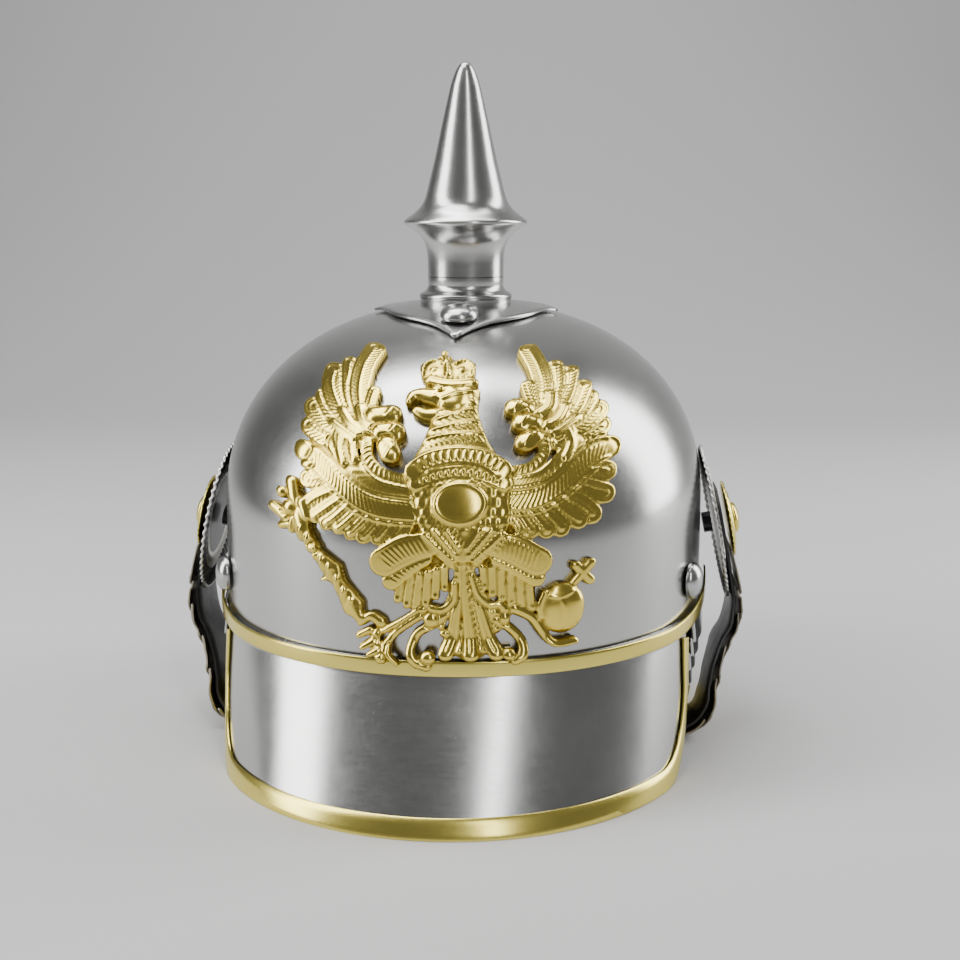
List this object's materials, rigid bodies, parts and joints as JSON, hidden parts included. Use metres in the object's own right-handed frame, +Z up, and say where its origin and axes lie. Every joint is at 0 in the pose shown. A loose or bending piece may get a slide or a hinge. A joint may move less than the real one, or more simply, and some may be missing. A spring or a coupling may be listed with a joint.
{
  "type": "spiked helmet",
  "caption": "Steel spiked helmet with front and rear peaks, brass edging, a crowned eagle plate, side cockades and a strap of chin scales.",
  "frame": {"origin": "centre of the bounding box at the level of the surface that the helmet rests on", "axes": "+Z up along the spike, -Y towards the front of the helmet, +X towards the wearer's left"},
  "size_m": [0.2416, 0.311, 0.283],
  "materials": {
    "steel": "satin polish",
    "brass": "gilt satin",
    "leather": "smooth black"
  },
  "bodies": {
    "root": {"shell": "steel", "visor": "steel", "neck_guard": "steel", "rivet_left": "steel", "rivet_right": "steel", "spike_plate": "steel", "plate_stud_front": "steel", "plate_stud_back": "steel", "spike": "steel", "spike_base": "steel", "cockade_post_left": "steel", "cockade_post_right": "steel", "visor_trim": "brass", "neck_guard_trim": "brass", "front_band": "brass", "eagle_plate": "brass", "rosette_left": "brass", "rosette_right": "brass", "rosette_knob_left": "brass", "rosette_knob_right": "brass", "strap_buckle": "brass", "scale_left_01": "brass", "scale_left_02": "brass", "scale_left_03": "brass", "scale_left_04": "brass", "scale_left_05": "brass", "scale_left_06": "brass", "scale_left_07": "brass", "scale_left_08": "brass", "scale_left_09": "brass", "scale_left_10": "brass", "scale_left_11": "brass", "scale_left_12": "brass", "scale_right_01": "brass", "scale_right_02": "brass", "scale_right_03": "brass", "scale_right_04": "brass", "scale_right_05": "brass", "scale_right_06": "brass", "scale_right_07": "brass", "scale_right_08": "brass", "scale_right_09": "brass", "scale_right_10": "brass", "scale_right_11": "brass", "scale_right_12": "brass", "cockade_left": "leather", "cockade_right": "leather", "chin_strap": "leather"}
  },
  "joints": []
}
